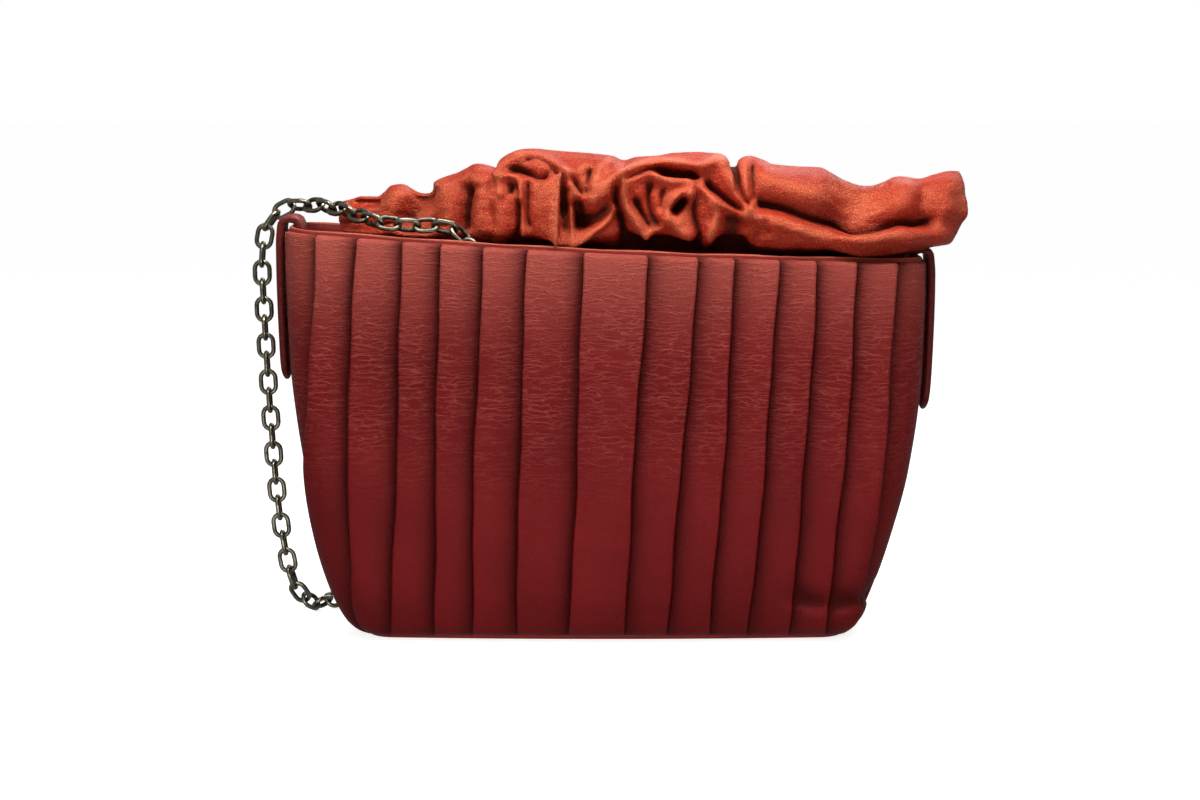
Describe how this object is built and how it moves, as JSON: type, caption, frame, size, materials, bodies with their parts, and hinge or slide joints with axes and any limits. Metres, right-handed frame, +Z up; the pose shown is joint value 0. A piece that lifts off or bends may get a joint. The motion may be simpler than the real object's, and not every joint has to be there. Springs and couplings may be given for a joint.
{
  "type": "pleated leather crossbody bag",
  "caption": "Leather crossbody bag with a pleated front, side tabs over the rim, a gathered collar round its mouth and a cable-chain strap.",
  "frame": {"origin": "middle of the base's underside, on the surface that the bag stands on", "axes": "+X to the right as the pleated front is seen, +Y from the front to the back, +Z up from the base to the mouth"},
  "size_m": [0.2842, 0.0942, 0.1918],
  "materials": {
    "pleated_leather": "soft grained calf leather in deep red with a light sheen",
    "edge_leather": "smooth red leather, a shade darker",
    "gathered_leather": "soft grained leather in orange red with a pearly sheen on the folds",
    "chain_metal": "antiqued gunmetal, polished on the high places and dark in the hollows"
  },
  "bodies": {
    "root": {"front_panel": "pleated_leather", "back_panel": "pleated_leather", "gusset_left": "pleated_leather", "gusset_right": "pleated_leather", "base_panel": "edge_leather", "rim_binding": "edge_leather", "side_tab_left": "edge_leather", "side_tab_right": "edge_leather", "gathered_collar": "gathered_leather", "strap_chain": "chain_metal", "strap_staple_front": "chain_metal", "strap_staple_rear": "chain_metal"}
  },
  "joints": []
}
